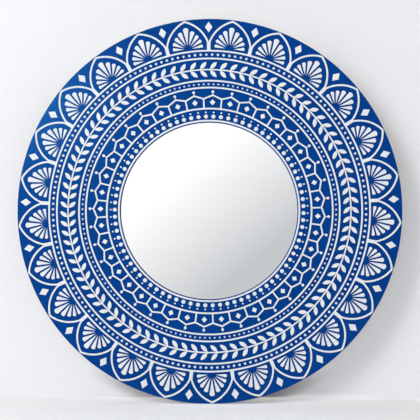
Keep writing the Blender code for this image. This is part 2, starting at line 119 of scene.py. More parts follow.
def length(name, description, millimetres):
    return FloatProperty(
        name=name, description=description, default=millimetres * MM, unit="LENGTH", precision=5)


def turn(name, description, degrees):
    return FloatProperty(name=name, description=description, default=math.radians(degrees), subtype="ANGLE")


def fraction(name, description, value):
    return FloatProperty(name=name, description=description, default=value, subtype="FACTOR", precision=4)


def power(name, description, watts):
    return FloatProperty(name=name, description=description, default=watts, unit="POWER")


def number(name, description, value):
    return IntProperty(name=name, description=description, default=value, min=1)


def colour(name, description, red, green, blue):
    return FloatVectorProperty(
        name=name, description=description, default=(red, green, blue), subtype="COLOR", min=0.0, max=1.0)


def stray(name, once, once_peak, twice, twice_peak):
    """How far a row strays from even spacing: an angle and its peak, once and then twice a turn."""
    degrees = (once, once_peak, twice, twice_peak)
    return FloatVectorProperty(
        name=name, default=[math.radians(angle) for angle in degrees], size=4, unit="ROTATION",
        description="Stray from even spacing: once a turn and its peak, twice a turn and its peak")


class OrnamentSizes(bpy.types.PropertyGroup):
    """Sizes of the white mandala on the face"""

    line: length("Line", "Width of the white line rings", 2.6)
    edge: length("Edge", "Rounding of the white relief's upper edges", 0.35)

    petals: number("Petals", "Pointed arches round the face", 25)
    petal_phase: turn("Petal phase", "Angle of the first arch, clockwise from the top", 6.7)
    petal_stray: stray("Petal stray", 0.65, 43.0, 0.15, 53.0)
    petal_radius: length("Petal radius", "Radius of the ring that the arches stand on", 250.0)
    petal_rise: length("Petal rise", "Height of an arch's middle line", 47.4)
    arch_spring: length("Arch spring", "Height at which an arch would be as wide as its petal", 12.3)
    arch: length("Arch", "Width of an arch's line", 2.8)
    wall: length("Wall", "Width of the wall between two arches", 5.5)
    diamond_width: length("Diamond width", "Width of a rim diamond", 11.6)
    diamond_height: length("Diamond height", "Height of a rim diamond", 16.6)
    diamond_radius: length("Diamond radius", "Radius at the middle of a rim diamond", 287.0)

    strokes: number("Strokes", "Strokes on each side of a fan's middle one", 4)
    fan_spread: turn("Fan spread", "Angle from a fan's middle stroke to its lowest one", 83.0)
    fan_rise: length("Fan rise", "Height of a fan's focus above the petal ring", 3.9)
    fan_hub: length("Fan hub", "Free space round a fan's focus", 6.6)
    fan_gap: length("Fan gap", "Blue gap between two strokes", 3.1)
    fan_tip: length("Fan tip", "Gap between the middle stroke and the arch", 8.0)
    fan_side: length("Fan side", "Gap between the lowest stroke and the wall", 6.4)
    fan_cap: turn("Fan cap", "Turn of the blunt end of a stroke", 120.0)

    outer_line: length("Outer line", "Radius of the line inside the outer dots", 237.8)
    outer_dots: number("Outer dots", "Dots in the outer row", 175)
    outer_dot_radius: length("Outer dot radius", "Radius of the outer row of dots", 243.9)
    outer_dot: length("Outer dot", "Radius of one outer dot", 2.0)
    outer_dot_phase: turn("Outer dot phase", "Angle of the first outer dot", 1.8)
    outer_dot_stray: stray("Outer dot stray", 0.98, 117.0, 0.36, 62.0)

    leaf_pairs: number("Leaf pairs", "Pairs of leaves on the vine", 91)
    vine_phase: turn("Vine phase", "Angle of the first pair's base", 1.65)
    vine_stray: stray("Vine stray", 1.19, 203.0, 0.78, 50.0)
    vine_radius: length("Vine radius", "Radius of the vine's stem", 220.4)
    stem: length("Stem", "Width of the vine's stem", 2.1)
    vine_lead: fraction("Vine lead", "Stem before a pair's base, as a share of the pitch", 0.2)
    leaf: length("Leaf", "Length of a leaf with its stalk", 14.7)
    leaf_stalk: length("Leaf stalk", "Length of a leaf's stalk", 0.9)
    leaf_neck: length("Leaf neck", "Width of a leaf at the stem", 1.0)
    leaf_lean: turn("Leaf lean", "Lean of a leaf from the radius", 43.5)
    leaf_bow: turn("Leaf bow", "Turn of a leaf's side from its base to its tip", 89.0)

    inner_line_a: length("Inner line A", "Radius of the line outside the inner dots", 203.1)
    inner_line_b: length("Inner line B", "Radius of the line inside the inner dots", 192.3)
    inner_dots: number("Inner dots", "Dots in the inner row", 161)
    inner_dot_radius: length("Inner dot radius", "Radius of the inner row of dots", 197.7)
    inner_dot: length("Inner dot", "Radius of one inner dot", 1.45)
    inner_dot_phase: turn("Inner dot phase", "Angle of the first inner dot", 0.19)
    inner_dot_stray: stray("Inner dot stray", 0.43, 188.0, 0.2, 147.0)

    pentagons: number("Pentagons", "House-shaped cells round the mirror", 40)
    pentagon_phase: turn("Pentagon phase", "Angle of the first cell", 2.05)
    pentagon_stray: stray("Pentagon stray", 0.92, 109.0, 0.54, 40.0)
    pentagon_radius: length("Pentagon radius", "Radius of the ring that the cells stand on", 159.5)
    pentagon_line: length("Pentagon line", "Width of the cells' walls and roofs", 2.4)
    eaves: length("Eaves", "Height of a cell's walls", 15.4)
    roof: length("Roof", "Height of a cell's roof above its walls", 5.6)
    finial_rise: length("Finial rise", "Height of a finial's middle above the ridge", 5.4)
    finial: length("Finial", "Radius of a finial", 2.2)
    finial_neck: length("Finial neck", "Width of a finial's neck", 1.1)
    lozenge_radius: length("Lozenge radius", "Radius at the middle of a cell's diamond", 169.4)
    lozenge_width: length("Lozenge width", "Width of a cell's diamond", 8.4)
    lozenge_height: length("Lozenge height", "Height of a cell's diamond", 9.3)

    mirror_line: length("Mirror line", "Radius of the line round the mirror", 140.6)
    beads: number("Beads", "Bead drops round the mirror", 82)
    bead_phase: turn("Bead phase", "Angle of the first bead drop", 2.83)
    bead_stray: stray("Bead stray", 0.42, 53.0, 0.89, 60.0)
    bead_radius: length("Bead radius", "Radius at the middle of the beads", 147.1)
    bead: length("Bead", "Radius of one bead", 3.15)
    drop_radius: length("Drop radius", "Radius at the middle of the small drops", 153.5)
    drop: length("Drop", "Radius of one small drop", 1.4)


class BodySizes(bpy.types.PropertyGroup):
    """Sizes of the board, the facing and the hardware on the back"""

    opening: length("Opening", "Radius of the opening in front of the glass", 138.0)
    rebate: length("Rebate", "Radius of the board's hole round the glass", 147.0)
    soft_edge: length("Soft edge", "Rounding of the board's and the facing's edges", 0.35)
    panel_edge: length("Panel edge", "Rounding of the glass and the back panel", 0.4)
    button_reach: length("Button reach", "From a button's pivot to its tip", 26.0)
    button_width: length("Button width", "Width of a button", 12.0)
    button_thickness: length("Button thickness", "Thickness of a button", 1.5)
    button_edge: length("Button edge", "Rounding of a button's edges", 0.25)
    strap_width: length("Strap width", "Width of a hanger strap", 12.0)
    strap_length: length("Strap length", "From a hanger's bar to its strap's end", 27.7)
    strap_thickness: length("Strap thickness", "Thickness of a hanger strap", 1.2)
    strap_edge: length("Strap edge", "Rounding of a strap's edges", 0.2)
    strap_curl: turn("Strap curl", "Turn of the strap round the ring's bar", 290.0)
    wire: length("Wire", "Radius of a hanger ring's wire", 1.25)
    ring_half: length("Ring half", "Half the width of a ring, to its wire's middle", 9.0)
    ring_corner: length("Ring corner", "Radius of a ring's upper corners", 2.5)
    ring_straight: length("Ring straight", "From a ring's bar to the middle of its round end", 6.0)
    head: length("Head", "Radius of a screw's head", 3.25)
    head_height: length("Head height", "Height of a screw's head", 1.8)
    head_flat: fraction("Head flat", "Flat top of a head, as a share of its radius", 0.6)
    head_shoulder: fraction("Head shoulder", "Shoulder of a head, as a share of its radius", 0.85)
    shoulder_drop: length("Shoulder drop", "From a head's top down to its shoulder", 0.45)
    head_drop: length("Head drop", "From a head's top down to its full width", 1.1)
    recess: length("Recess", "Reach of the cross recess in a screw's head", 1.7)
    recess_width: length("Recess width", "Width of the cross recess", 0.9)
    recess_depth: length("Recess depth", "Depth of the cross recess", 1.0)
    recess_taper: fraction("Recess taper", "Bottom of the recess, as a share of its mouth", 0.7)
    bumpers: number("Bumpers", "Wall bumpers on the board's back", 4)
    bumper: length("Bumper", "Radius of a wall bumper", 6.0)
    bumper_taper: length("Bumper taper", "How much narrower a bumper is at the wall", 1.0)
    bumper_edge: length("Bumper edge", "Rounding of a bumper's edges", 0.6)


class Finishes(bpy.types.PropertyGroup):
    """Colours of the finishes"""

    lacquer: colour("Lacquer", "Blue lacquer of the face", 0.0, 0.036, 0.229)
    lacquer_sheen: colour("Lacquer sheen", "Tint of the lacquer's gloss", 0.06, 0.45, 1.0)
    enamel: colour("Enamel", "White of the raised ornament", 0.812, 0.838, 0.866)
    silver: colour("Silver", "Silvering of the mirror", 0.96, 0.965, 0.97)
    fibre: colour("Fibre", "Raw fibre board", 0.42, 0.29, 0.17)
    hardboard: colour("Hardboard", "Back panel", 0.23, 0.135, 0.075)
    zinc: colour("Zinc", "Zinc-plated steel", 0.62, 0.63, 0.64)
    rubber: colour("Rubber", "Wall bumpers", 0.018, 0.018, 0.019)


class StageSettings(bpy.types.PropertyGroup):
    """Camera, light and backdrop"""

    lens: FloatProperty(name="Lens", description="Focal length", default=77.35, unit="CAMERA")
    distance: length("Distance", "From the camera to the face", 1406.0)
    azimuth: turn("Azimuth", "Camera to the right of the axis", 1.4)
    elevation: turn("Elevation", "Camera above the axis", -0.8)
    wall_gap: length("Wall gap", "From the bumpers to the backdrop", 22.0)
    sheet_half: length("Sheet half", "Half the width of the floor and of the wall", 4000.0)
    space: colour("Space", "Space beyond the wall and the floor", 0.87, 0.88, 0.9)
    wall: colour("Wall", "Wall behind the mirror", 0.7, 0.707, 0.723)
    wall_glow: fraction("Wall glow", "Even part of the wall's tone, which no shadow darkens", 0.2)
    floor: colour("Floor", "Floor that the mirror stands on", 0.99, 0.99, 0.995)
    floor_glow: fraction("Floor glow", "Even part of the floor's tone, which no shadow darkens", 0.07)
    # Painted light on the backdrop, for camera rays: along the corner of floor and wall and on the wall
    # over the rim. The reaches below are how far the corner's painted light runs.
    corner_painted_light: fraction("Corner glow", "Even tone added in the corner of floor and wall", 0.28)
    crown_painted_light: fraction("Crown glow", "Even tone added on the wall over the rim", 0.1)
    floor_reach: length("Floor reach", "How far the corner's tone runs over the floor", 90.0)
    wall_reach: length("Wall reach", "How far the corner's tone runs up the wall", 12.0)
    daylight: fraction("Daylight", "Strength of the even light", 0.345)
    key_power: power("Key power", "Power of the key light, at the upper left", 52.0)
    key_size: length("Key size", "Width of the key light", 1400.0)
    side_power: power("Side power", "Power of the side light, at the left", 88.0)
    side_size: length("Side size", "Width of the side light", 2000.0)
    fill_power: power("Fill power", "Power of the fill light, by the camera", 5.0)
    fill_size: length("Fill size", "Width of the fill light", 1000.0)
    sheen_power: power("Sheen power", "Power of the light that only gloss shows", 7.0)
    sheen_size: length("Sheen size", "Width of the light that only gloss shows", 450.0)
    back_power: power("Back power", "Power of the light on the back", 58.0)
    back_size: length("Back size", "Width of the light on the back", 2400.0)
    shift_right: fraction("Shift right", "Camera shift, as a share of the frame", 0.0025)
    shift_up: fraction("Shift up", "Camera shift, as a share of the frame", 0.0019)


# Shader expressions

class Socket:
    """One socket of a node tree. Arithmetic on it adds Math nodes."""

    def __init__(self, tree, socket):
        self.tree = tree
        self.socket = socket

    def math(self, operation, first, second=0.0):
        return self.node("ShaderNodeMath", {"operation": operation}, {0: first, 1: second})

    def __add__(self, other):
        return self.math("ADD", self, other)

    __radd__ = __add__

    def __mul__(self, other):
        return self.math("MULTIPLY", self, other)

    __rmul__ = __mul__

    def __sub__(self, other):
        return self.math("SUBTRACT", self, other)

    def __rsub__(self, other):
        return self.math("SUBTRACT", other, self)

    def node(self, kind, settings=None, sockets=None, output=0):
        """Adds a node with its settings, then the values or links of its sockets, and gives one output."""
        made = self.tree.nodes.new(kind)
        for name, value in (settings or {}).items():
            if name == "stops":
                for stop, (position, tone) in zip(made.color_ramp.elements, value):
                    stop.position = position
                    stop.color = (*tone, 1.0)
            else:
                setattr(made, name, value)
        for name, value in (sockets or {}).items():
            if isinstance(value, Socket):
                self.tree.links.new(value.socket, made.inputs[name])
            else:
                made.inputs[name].default_value = value
        return Socket(self.tree, made.outputs[output])

    def ramp(self, factor, stops):
        return self.node("ShaderNodeValToRGB", {"stops": stops}, {"Fac": factor})


NOISE_RANGE = (0.3, 0.7)
BLACK = (0.0, 0.0, 0.0)


def tinted(tone, factor):
    return tuple(min(1.0, channel * factor) for channel in tone)


class Finish:
    """A Principled material of one tone, whose varying inputs are written as expressions."""

    def __init__(self, name, tone):
        self.tone = tuple(tone)
        self.material = bpy.data.materials.new(name)
        self.material.use_nodes = True
        self.tree = self.material.node_tree
        self.shader = self.tree.nodes["Principled BSDF"]
        self.start = Socket(self.tree, None)
        self.place = self.start.node("ShaderNodeTexCoord", output="Object")

    def noise(self, scale, detail=2.0, roughness=0.5, place=None):
        sockets = {"Vector": place or self.place, "Scale": scale, "Detail": detail, "Roughness": roughness}
        return self.start.node("ShaderNodeTexNoise", None, sockets)

    def stretched(self, *scale):
        return self.start.node("ShaderNodeMapping", None, {"Vector": self.place, "Scale": scale})

    def shades(self, factor, dark, light):
        """The tone, from a dark to a light share of it."""
        shares = [tinted(self.tone, share) for share in (dark, light)]
        return self.start.ramp(factor, zip(NOISE_RANGE, shares))

    def slopes(self, *parts):
        """Product of smooth slopes, each from 0 where its value is at the start to 1 at the end."""
        share = 1.0
        for value, (start, end) in parts:
            settings = {"interpolation_type": "SMOOTHSTEP"}
            share *= self.start.node("ShaderNodeMapRange", settings, {0: value, 1: start, 2: end})
        return share

    def bump(self, height, distance, strength=1.0):
        sockets = {"Height": height, "Distance": distance, "Strength": strength}
        return self.start.node("ShaderNodeBump", None, sockets)

    def set(self, **inputs):
        for name, value in inputs.items():
            target = self.shader.inputs[name.replace("_", " ")]
            if isinstance(value, Socket):
                self.tree.links.new(value.socket, target)
            else:
                target.default_value = value
        return self.material


def coloured(name, tone):
    """A finish whose tone is one of the colours in the settings."""
    return Finish(name, getattr(bpy.context.scene.mirror_finishes, tone))


def lacquer_finish():
    """Satin blue lacquer with a faint cloudiness and a fine skin."""
    finish = coloured("blue_lacquer", "lacquer")
    cloud = finish.noise(9.0, 3.0)
    skin = finish.noise(700.0, 2.0)
    return finish.set(
        Base_Color=finish.shades(cloud, 0.95, 1.05),
        Roughness=finish.noise(60.0, 3.0) * 0.08 + 0.2,
        Specular_IOR_Level=0.5,
        Specular_Tint=(*bpy.context.scene.mirror_finishes.lacquer_sheen, 1.0),
        Normal=finish.bump(skin, 0.04 * MM, 0.5))


def edge_finish():
    """Matt blue paint of the routed edges, which hides the fibres under it."""
    finish = coloured("blue_edge_paint", "lacquer")
    fibres = finish.noise(240.0, 4.0, 0.6)
    return finish.set(
        Base_Color=finish.shades(fibres, 0.8, 0.95),
        Roughness=fibres * 0.1 + 0.85,
        Specular_IOR_Level=0.0,
        Normal=finish.bump(fibres, 0.1 * MM, 0.4))


def enamel_finish():
    """White raised enamel, matt, with slight pits."""
    finish = coloured("white_enamel", "enamel")
    cloud = finish.noise(25.0, 3.0)
    pits = finish.noise(900.0, 3.0)
    return finish.set(
        Base_Color=finish.shades(cloud, 0.97, 1.02),
        Roughness=finish.noise(150.0, 2.0) * 0.14 + 0.42,
        Specular_IOR_Level=0.3,
        Normal=finish.bump(pits, 0.06 * MM, 0.6))


def silver_finish():
    """Silvered glass with faint wiping marks."""
    finish = coloured("silvered_glass", "silver")
    wipes = finish.noise(14.0, 4.0, 0.6, finish.stretched(1.0, 1.0, 2.4))
    return finish.set(
        Base_Color=finish.shades(wipes, 0.995, 1.0),
        Metallic=1.0,
        Roughness=wipes * 0.02)


def fibre_finish():
    """Raw fibre board: pale brown with short fibres."""
    finish = coloured("raw_fibre_board", "fibre")
    fibres = finish.noise(260.0, 5.0, 0.7)
    patches = finish.noise(16.0, 2.0)
    return finish.set(
        Base_Color=finish.shades(fibres * 0.75 + patches * 0.25, 0.78, 1.15),
        Roughness=fibres * 0.15 + 0.75,
        Specular_IOR_Level=0.2,
        Normal=finish.bump(fibres, 0.2 * MM, 0.5))


def hardboard_finish():
    """Brown hardboard with the screen mark of its rough side."""
    finish = coloured("hardboard", "hardboard")
    fibres = finish.noise(320.0, 4.0, 0.65)
    bands = [
        finish.start.node(
            "ShaderNodeTexWave", {"wave_type": "BANDS", "bands_direction": way},
            {"Vector": finish.place, "Scale": 130.0, "Distortion": 0.4}, "Fac")
        for way in ("X", "Z")]
    screen = bands[0] * bands[1]
    return finish.set(
        Base_Color=finish.shades(fibres * 0.7 + screen * 0.3, 0.75, 1.25),
        Roughness=fibres * 0.2 + 0.65,
        Normal=finish.bump(screen, 0.3 * MM, 0.6))


def zinc_finish():
    """Zinc-plated steel with a crystalline mottle."""
    finish = coloured("zinc_plated_steel", "zinc")
    grain = finish.noise(420.0, 3.0, 0.6)
    brush = finish.noise(300.0, 3.0, 0.6, finish.stretched(1.0, 1.0, 0.12))
    return finish.set(
        Base_Color=finish.shades(grain, 0.85, 1.1),
        Metallic=1.0,
        Roughness=brush * 0.25 + 0.22,
        Normal=finish.bump(brush, 0.03 * MM, 0.4))


def rubber_finish():
    """Matt black rubber with a fine grain."""
    finish = coloured("black_rubber", "rubber")
    grain = finish.noise(800.0, 3.0)
    return finish.set(
        Base_Color=finish.shades(grain, 0.8, 1.5),
        Roughness=grain * 0.2 + 0.65,
        Normal=finish.bump(grain, 0.08 * MM, 0.6))


# Where the backdrop's even tone changes, in metres, from none of the change to all of it: painted shade
# beside the mirror's foot, painted light along the corner of floor and wall and over the rim
PAINTED_SHADE_RADIUS = (0.331, 0.313)
PAINTED_SHADE_HEIGHT = (-0.25, -0.285)
PAINTED_SHADE_FOOT = (0.0, 0.004)
PAINTED_CORNER_LEFT = {"floor": (-0.28, -0.02), "wall": (-0.12, -0.02)}
PAINTED_CORNER_RIGHT = (0.3, 0.12)
PAINTED_CROWN_RADIUS = (0.36, 0.3)
PAINTED_CROWN_HEIGHT = (0.15, 0.28)
PAINTED_CROWN_RIGHT = (0.25, 0.1)


def backdrop_glow_and_painted_light(finish, name):
    """Even tone of a sheet, with painted shade beside the foot, painted light along the corner and over the
    rim.
    """
    settings = bpy.context.scene.mirror_stage
    across, deep, up = (
        finish.start.node("ShaderNodeSeparateXYZ", None, {0: finish.place}, axis) for axis in "XYZ")
    behind = deep - settings.wall_gap
    above = up + RIM_RADIUS
    radius = up.math("SQRT", across * across + up * up)
    corner = up.math("SQRT", behind * behind + above * above)
    reach = (getattr(settings, f"{name}_reach"), 0.0)
    # Painted shade: the even tone is taken away beside the mirror's foot
    painted_shade = finish.slopes((radius, PAINTED_SHADE_RADIUS), (up, PAINTED_SHADE_HEIGHT), (above, PAINTED_SHADE_FOOT))
    # Painted light along the corner of floor and wall
    painted_corner_light = finish.slopes((corner, reach), (across, PAINTED_CORNER_LEFT[name]), (across, PAINTED_CORNER_RIGHT))
    # crown: painted light on the wall over the rim
    crown = finish.slopes((radius, PAINTED_CROWN_RADIUS), (up, PAINTED_CROWN_HEIGHT), (across, PAINTED_CROWN_RIGHT))
    # even holds the sheet's even tone together with the corner's painted light
    even = painted_corner_light * settings.corner_painted_light + getattr(settings, f"{name}_glow")
    return (1.0 - painted_shade) * even + crown * settings.crown_painted_light


def backdrop_finish(name):
    """Pale sheet, seen from its front only. A share of its tone is even, for camera rays alone, with
    painted shade and painted light in places.
    """
    finish = Finish(f"pale_{name}", getattr(bpy.context.scene.mirror_stage, name))
    camera = finish.start.node("ShaderNodeLightPath", output="Is Camera Ray")
    full = tinted(finish.tone, 1.0 / max(finish.tone))
    # glow: the sheet's emission for camera rays, with its painted shade and painted light
    glow = finish.start.ramp(camera * backdrop_glow_and_painted_light(finish, name), [(0.0, BLACK), (1.0, full)])
    finish.set(
        Base_Color=finish.shades(finish.noise(3.0, 2.0), 0.995, 1.0),
        Roughness=0.9,
        Specular_IOR_Level=0.0,
        Emission_Color=glow,
        Emission_Strength=1.0)
    behind = finish.start.node("ShaderNodeNewGeometry", output="Backfacing")
    clear = finish.start.node("ShaderNodeBsdfTransparent")
    solid = Socket(finish.tree, finish.shader.outputs["BSDF"])
    mixed = finish.start.node("ShaderNodeMixShader", None, {0: behind, 1: solid, 2: clear})
    finish.tree.links.new(mixed.socket, finish.tree.nodes["Material Output"].inputs["Surface"])
    return finish.material


FINISH_MAKERS = {
    "lacquer": lacquer_finish,
    "edge": edge_finish,
    "enamel": enamel_finish,
    "silver": silver_finish,
    "fibre": fibre_finish,
    "hardboard": hardboard_finish,
    "zinc": zinc_finish,
    "rubber": rubber_finish,
}
FINISHES_MADE = {}


def finish_named(name):
    if name not in FINISHES_MADE:
        FINISHES_MADE[name] = FINISH_MAKERS[name]()
    return FINISHES_MADE[name]


# Drawing on the face: a point is (right, up), and angles run clockwise from the top

def on_ray(radius, angle):
    return (radius * math.sin(angle), radius * math.cos(angle))


def in_space(point, depth=BED):
    return Vector((point[0], depth, point[1]))


def clock(point, middle):
    return math.atan2(point[0] - middle[0], point[1] - middle[1])


def of_kind(parts, kind):
    return [part for part in parts if isinstance(part, kind)]


def everything(mesh):
    return mesh.verts[:] + mesh.edges[:] + mesh.faces[:]


def move_to(mesh, spot, depth=0.0):
    bmesh.ops.translate(mesh, vec=in_space(spot, depth), verts=mesh.verts)


def bevel(mesh, lines, offset, segments=2):
    bmesh.ops.bevel(
        mesh, geom=lines, offset=offset, offset_type="OFFSET", segments=segments, profile=0.5,
        affect="EDGES", material=-1, clamp_overlap=True)


def arc_to(start, end, middle, steps):
    """Stroke along the short arc from start to end about a middle."""
    swing = clock(end, middle) - clock(start, middle)
    swing = (swing + math.pi) % FULL_TURN - math.pi
    return (middle, swing, steps)


def bow_to(start, end, swing, steps):
    """Stroke along the clockwise arc from start to end that turns by the given angle."""
    across = (end[0] - start[0], end[1] - start[1])
    reach = 0.5 / math.tan(swing / 2)
    middle = (
        (start[0] + end[0]) / 2 + across[1] * reach,
        (start[1] + end[1]) / 2 - across[0] * reach)
    return (middle, swing, steps)


def trace(mesh, start, strokes, depth=BED):
    """Draws a closed outline. A stroke is a point, or an arc's middle, turn and steps. Gives the face."""
    first = mesh.verts.new(in_space(start, depth))
    pen = first
    drawn = [first]
    for stroke in strokes:
        if len(stroke) == 2:
            pen = bmesh.ops.extrude_vert_indiv(mesh, verts=[pen])["verts"][0]
            pen.co = in_space(stroke, depth)
            drawn.append(pen)
        else:
            middle, swing, steps = stroke
            known = set(mesh.verts)
            made = bmesh.ops.spin(
                mesh, geom=[pen], cent=in_space(middle, depth), axis=AXIS, angle=swing, steps=steps)
            pen = of_kind(made["geom_last"], BMVert)[0]
            drawn += [vert for vert in mesh.verts if vert not in known]
    mesh.edges.new((pen, first))
    outline = {edge for vert in drawn for edge in vert.link_edges}
    return bmesh.ops.contextual_create(mesh, geom=list(outline))["faces"][0]


def mirror_half(mesh):
    bmesh.ops.mirror(mesh, geom=everything(mesh), axis="X", merge_dist=WELD)


def raise_relief(mesh, height, edge):
    """Lifts the drawn faces towards the viewer and rounds their upper edges."""
    made = bmesh.ops.extrude_face_region(mesh, geom=mesh.faces[:], use_keep_orig=True)
    lifted = set(of_kind(made["geom"], BMVert))
    bmesh.ops.translate(mesh, verts=list(lifted), vec=(0.0, -height, 0.0))
    bmesh.ops.recalc_face_normals(mesh, faces=mesh.faces)
    rim = [
        line for line in mesh.edges
        if lifted.issuperset(line.verts) and any(abs(face.normal.y) < UPRIGHT for face in line.link_faces)]
    bevel(mesh, rim, edge)


def turn_by(mesh, angle, middle=CENTRE, verts=None):
    bmesh.ops.rotate(
        mesh, cent=in_space(middle), matrix=Matrix.Rotation(angle, 3, "Y"), verts=verts or mesh.verts[:])


def repeat_round(mesh, copies, phase, strays):
    """Turns a motif to its first place and repeats it round the disc, with the row's stray."""
    turn_by(mesh, phase)
    bmesh.ops.spin(
        mesh, geom=everything(mesh), cent=ORIGIN, axis=AXIS, angle=FULL_TURN * (copies - 1) / copies,
        steps=copies - 1, use_duplicate=True)
    bmesh.ops.remove_doubles(mesh, verts=mesh.verts, dist=WELD)
    once, once_peak, twice, twice_peak = strays
    for vert in mesh.verts:
        angle = clock((vert.co.x, vert.co.z), CENTRE)
        moved = once * math.cos(angle - once_peak) + twice * math.cos(2 * (angle - twice_peak))
        vert.co.rotate(Matrix.Rotation(moved, 3, "Y"))


def spin_profile(mesh, profile, steps, closed=False):
    """Turns a profile of (radius, depth) about the disc's axis."""
    points = [mesh.verts.new((radius, depth, 0.0)) for radius, depth in profile]
    edges = [mesh.edges.new(pair) for pair in zip(points, points[1:])]
    if closed:
        edges.append(mesh.edges.new((points[-1], points[0])))
    bmesh.ops.spin(
        mesh, geom=points + edges, cent=ORIGIN, axis=AXIS, angle=FULL_TURN, steps=steps, use_merge=True)
    bmesh.ops.remove_doubles(mesh, verts=mesh.verts, dist=WELD)
    bmesh.ops.recalc_face_normals(mesh, faces=mesh.faces)


def round_edges(mesh, offset, segments=3):
    sharp = [
        line for line in mesh.edges
        if len(line.link_faces) == 2 and line.calc_face_angle() > SHARP_EDGE]
    bevel(mesh, sharp, offset, segments)


def paint_sides(mesh):
    """Gives the second finish to the faces that stand upright on the face of the disc."""
    for face in mesh.faces:
        face.material_index = 1 if abs(face.normal.y) < SIDE else 0


def put_object(name, data):
    made = bpy.data.objects.new(name, data)
    bpy.context.scene.collection.objects.link(made)
    return made


def put_mesh(name, mesh, materials):
    data = bpy.data.meshes.new(name)
    mesh.to_mesh(data)
    mesh.free()
    for material in materials:
        data.materials.append(material)
    return put_object(name, data)


def put_piece(name, mesh, finishes, nodes=(), body="frame", smooth=False):
    """Makes the drawn mesh a piece of the object, which rides on a body and stands for its CAD nodes."""
    bmesh.ops.recalc_face_normals(mesh, faces=mesh.faces)
    piece = put_mesh(name, mesh, [finish_named(finish) for finish in finishes])
    piece.data.set_sharp_from_angle(angle=SHARP_SHADE)
    for face in piece.data.polygons:
        face.use_smooth = smooth and abs(face.normal.y) < FLAT
    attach(piece, body)
    if nodes:
        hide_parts(*nodes)


def put_ornament(name, mesh, nodes=(), smooth=False):
    put_piece(name, mesh, ["enamel"], nodes, smooth=smooth)


def put_row(name, mesh, row, nodes=(), joined=False):
    """Raises a motif and repeats it round the disc. A row that joins up is raised as one."""
    edge = bpy.context.scene.mirror_ornament.edge
    if not joined:
        raise_relief(mesh, RELIEF, edge)
    repeat_round(mesh, *row)
    if joined:
        raise_relief(mesh, RELIEF, edge)
    put_ornament(name, mesh, nodes)


def put_ring(name, finish, node, inner, front, back):
    """A flat ring as wide as the disc, with painted sides."""
    mesh = bmesh.new()
    profile = [(inner, front), (RIM_RADIUS, front), (RIM_RADIUS, back), (inner, back)]
    spin_profile(mesh, profile, RING_STEPS, closed=True)
    round_edges(mesh, bpy.context.scene.mirror_body.soft_edge)
    paint_sides(mesh)
    put_piece(name, mesh, [finish, "edge"], [node], smooth=True)


# Motifs

class Arch:
    """Geometry of one pointed arch about its middle line."""

    def __init__(self, sizes):
        self.sizes = sizes
        self.half = math.pi / sizes.petals
        self.across = (math.cos(self.half), -math.sin(self.half))
        reach = (sizes.petal_radius + sizes.arch_spring) * math.tan(self.half)
        self.bend = (reach ** 2 + sizes.petal_rise ** 2) / (2 * reach)
        self.middle = (reach - self.bend, sizes.petal_radius)
        self.focus = sizes.petal_radius + sizes.fan_rise

    def foot(self, radius, inside):
        """Where an arc about the arch's middle meets the line a distance inside the petal's edge."""
        offset = self.across[0] * self.middle[0] + self.across[1] * self.middle[1]
        angle = math.acos((-inside - offset) / radius) - self.half
        return (self.middle[0] + radius * math.cos(angle), self.middle[1] + radius * math.sin(angle))

    def tip(self, radius):
        return (0.0, self.middle[1] + math.sqrt(radius ** 2 - self.middle[0] ** 2))

    def wall_foot(self, base):
        inside = self.sizes.wall / 2
        return on_ray(base, self.half - math.asin(inside / base))

    def room(self, angle):
        """From the fan's focus to the inside of the arch or of the wall, along a stroke."""
        radius = self.bend - self.sizes.arch / 2
        du = -self.middle[0]
        dv = self.focus - self.middle[1]
        along = du * math.sin(angle) + dv * math.cos(angle)
        to_arch = math.sqrt(along ** 2 - du ** 2 - dv ** 2 + radius ** 2) - along
        closing = self.across[0] * math.sin(angle) + self.across[1] * math.cos(angle)
        if closing <= 0.0:
            return to_arch
        return min(to_arch, (-self.sizes.wall / 2 - self.across[1] * self.focus) / closing)


def draw_half_arch(mesh, arch):
    """Half of one petal: its share of the ring, of the wall and of the arch."""
    sizes = arch.sizes
    inner = sizes.petal_radius - sizes.line / 2
    outer = sizes.petal_radius + sizes.line / 2
    outside = arch.bend + sizes.arch / 2
    inside = arch.bend - sizes.arch / 2
    start = (0.0, inner)
    corner = on_ray(inner, arch.half)
    valley = arch.foot(outside, 0.0)
    tip = arch.tip(outside)
    under_tip = arch.tip(inside)
    shoulder = arch.foot(inside, sizes.wall / 2)
    foot = arch.wall_foot(outer)
    sill = (0.0, outer)
    trace(mesh, start, [
        arc_to(start, corner, CENTRE, BASE_STEPS),
        valley,
        arc_to(valley, tip, arch.middle, ARCH_STEPS),
        under_tip,
        arc_to(under_tip, shoulder, arch.middle, ARCH_STEPS),
        foot,
        arc_to(foot, sill, CENTRE, SILL_STEPS),
    ])


def draw_fan(mesh, arch):
    """The strokes of one fan, each a teardrop with a round end."""
    sizes = arch.sizes
    step = sizes.fan_spread / sizes.strokes
    slope = math.tan(step / 2)
    for place in range(-sizes.strokes, sizes.strokes + 1):
        share = abs(place) / sizes.strokes
        margin = sizes.fan_tip * (1.0 - share) + sizes.fan_side * share
        tip = arch.room(step * abs(place)) - margin
        bulge = math.tan(sizes.fan_cap / 4)
        end = (tip * slope - sizes.fan_gap / 2) / (1.0 + slope * bulge)
        shoulder = arch.focus + tip - end * bulge
        stroke = trace(mesh, (0.0, arch.focus + sizes.fan_hub), [
            (-end, shoulder),
            bow_to((-end, shoulder), (end, shoulder), sizes.fan_cap, CAP_STEPS),
        ])
        turn_by(mesh, step * place, (0.0, arch.focus), stroke.verts[:])


def draw_diamond(mesh, radius, width, height):
    trace(mesh, (0.0, radius + height / 2), [
        (width / 2, radius), (0.0, radius - height / 2), (-width / 2, radius)])


